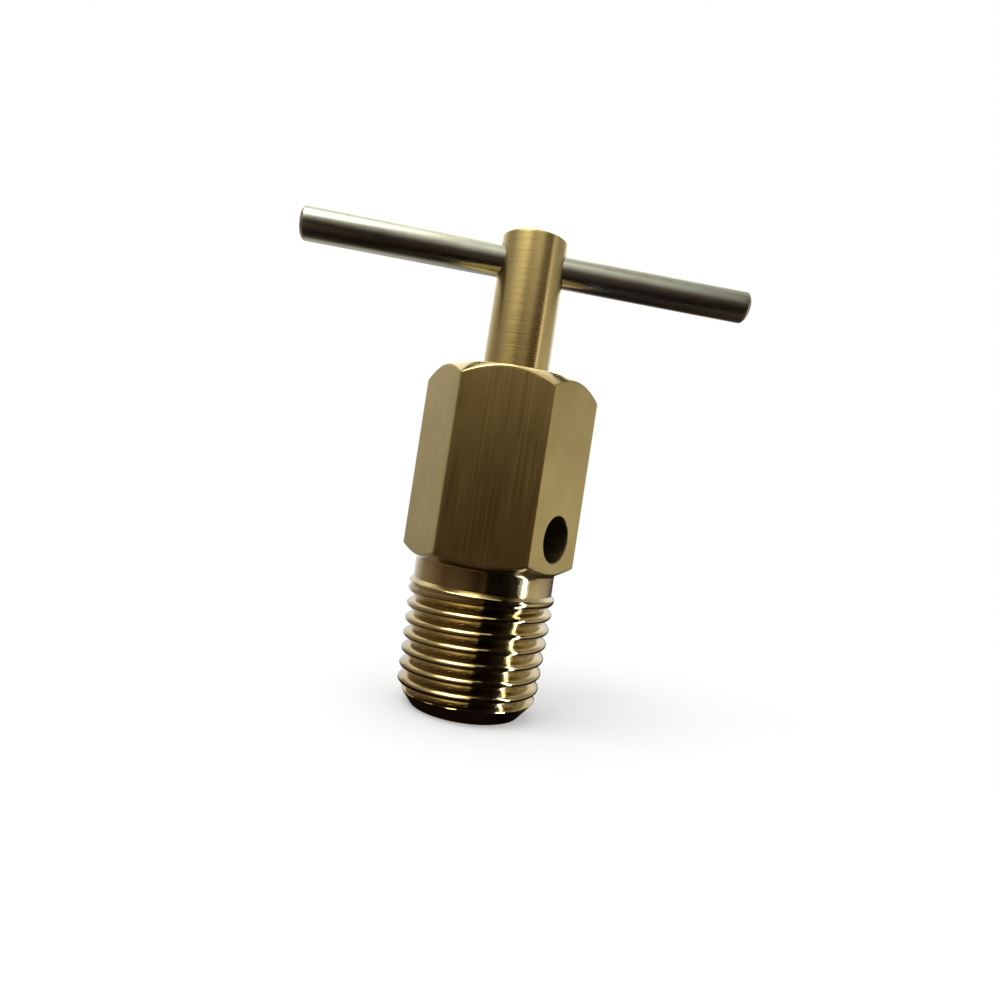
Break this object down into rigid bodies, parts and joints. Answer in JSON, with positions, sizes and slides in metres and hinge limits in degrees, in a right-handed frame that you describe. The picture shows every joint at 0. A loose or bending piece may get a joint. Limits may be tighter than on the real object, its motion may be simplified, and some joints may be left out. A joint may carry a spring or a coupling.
{
  "type": "drain cock",
  "caption": "Brass drain cock with a tapered male pipe thread, hexagon body, side drain port and a screw-down stem turned by a tee bar.",
  "frame": {"origin": "centre of the shank's end face, on the stem axis", "axes": "+Z along the stem axis towards the tee bar, -Y out of a hexagon flat, the drain port 30 degrees from +X towards -Y"},
  "size_m": [0.0432, 0.0142, 0.0451],
  "materials": {
    "body_brass": "machined, dull satin",
    "stem_brass": "drawn rod, satin",
    "bar_metal": "plated rod, dull",
    "disc_rubber": "matt"
  },
  "bodies": {
    "body": {"body": "body_brass"},
    "seat_disc": {"seat_disc": "disc_rubber"},
    "stem": {"stem": "stem_brass", "tee_bar": "bar_metal"}
  },
  "joints": [
    {"name": "stem_lift", "type": "slide", "parent": "body", "child": "seat_disc", "axis": [0, 0, 1], "range_m": [0, 0.00382]},
    {"name": "stem_turn", "type": "hinge", "parent": "seat_disc", "child": "stem", "pos_m": [0, 0, 0.0317], "axis": [0, 0, 1], "range_deg": [0, 1080]}
  ],
  "couplings": [
    {"joint": "stem_lift", "follows": "stem_turn", "m_per_rad": 0.00020213}
  ]
}
